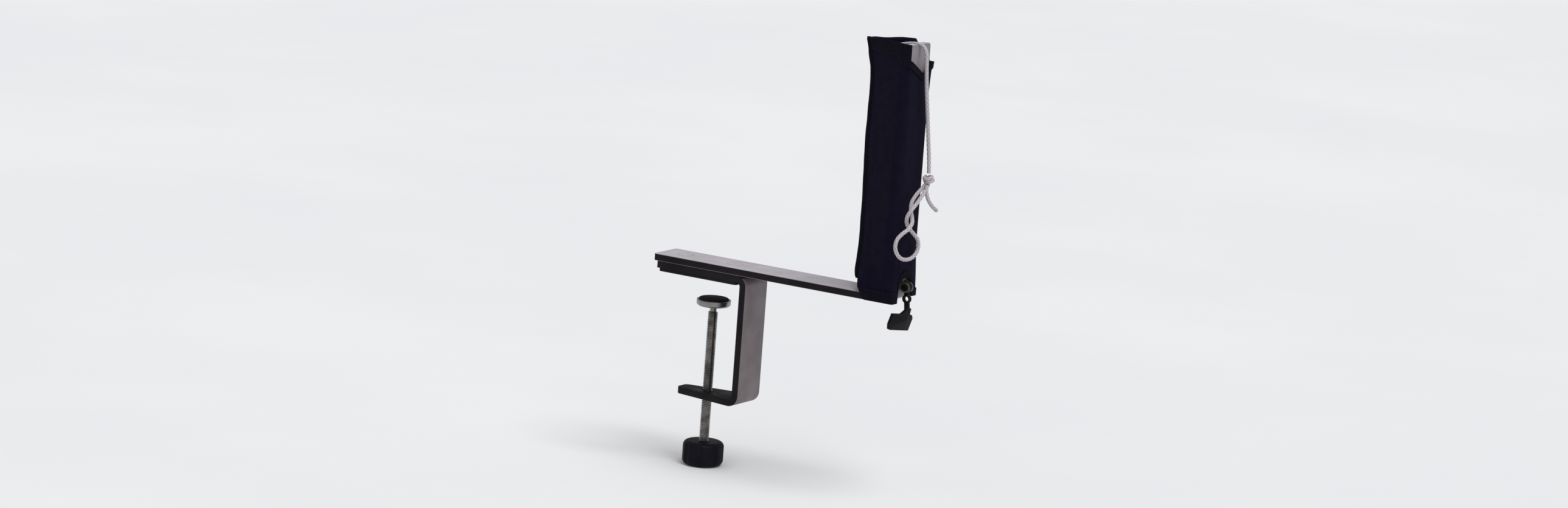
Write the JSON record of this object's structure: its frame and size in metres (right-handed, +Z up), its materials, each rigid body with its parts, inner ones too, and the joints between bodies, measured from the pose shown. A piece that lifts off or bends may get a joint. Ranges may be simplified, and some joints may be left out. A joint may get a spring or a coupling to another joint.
{
  "type": "table tennis net clamp",
  "caption": "Clamp-on table tennis net post: bent strip arm, C-bracket with screw, knob and swivel foot, tension lever, cloth sleeve and cord.",
  "frame": {"origin": "on the table top, under the rubber pad, on the axis of the clamping screw", "axes": "+X out from the table in line with the net, +Y along the table's length, +Z up along the post"},
  "size_m": [0.1737, 0.0348, 0.2661],
  "materials": {
    "strip_grey": "satin silver-grey lacquer, dark on the strip's edges",
    "bracket_grey": "satin warm grey lacquer",
    "rivet_steel": "flush, satin",
    "pad_rubber": "matt black rubber",
    "screw_steel": "plain steel, thread cut",
    "knob_black": "moulded, semi-matt",
    "foot_steel": "pressed, satin",
    "zinc": "bright zinc plate",
    "lever_black": "black lacquer",
    "sleeve_cloth": "woven blue-black cloth",
    "hem_cloth": "folded and stitched blue-black tape",
    "cord_white": "braided off-white cord"
  },
  "bodies": {
    "frame": {"arm_and_upright": "strip_grey", "clamp_bracket": "bracket_grey", "bracket_rivets": "rivet_steel", "table_pad": "pad_rubber", "lever_bracket": "zinc", "lever_bracket_rivets": "zinc", "lever_pin": "zinc"},
    "foot": {"thrust_cup": "foot_steel", "thrust_pad": "pad_rubber"},
    "screw": {"clamp_screw": "screw_steel", "knob": "knob_black", "knob_cap": "knob_black", "swivel_washer": "foot_steel"},
    "lever": {"tension_lever": "lever_black"},
    "sleeve": {"sleeve": "sleeve_cloth", "sleeve_top_hem": "hem_cloth", "sleeve_bottom_hem": "hem_cloth", "sleeve_seam_tape": "hem_cloth", "cord": "cord_white", "cord_knot": "cord_white", "cord_loop": "cord_white", "cord_tail": "cord_white"}
  },
  "joints": [
    {"name": "screw_travel", "type": "slide", "parent": "frame", "child": "foot", "axis": [0, 0, 1], "range_m": [-0.048, 0.0115]},
    {"name": "screw_turn", "type": "hinge", "parent": "foot", "child": "screw", "pos_m": [0, 0, -0.05], "axis": [0, 0, 1], "range_deg": [-17281, 4141]},
    {"name": "lever_swing", "type": "hinge", "parent": "frame", "child": "lever", "pos_m": [0.1278, 0, 0.015], "axis": [0, -1, 0], "range_deg": [0, 150]},
    {"name": "sleeve_lift", "type": "slide", "parent": "frame", "child": "sleeve", "axis": [0, 0, 1], "range_m": [0, 0.16]}
  ],
  "couplings": [
    {"joint": "screw_turn", "follows": "screw_travel", "rad_per_m": 6283.2}
  ]
}
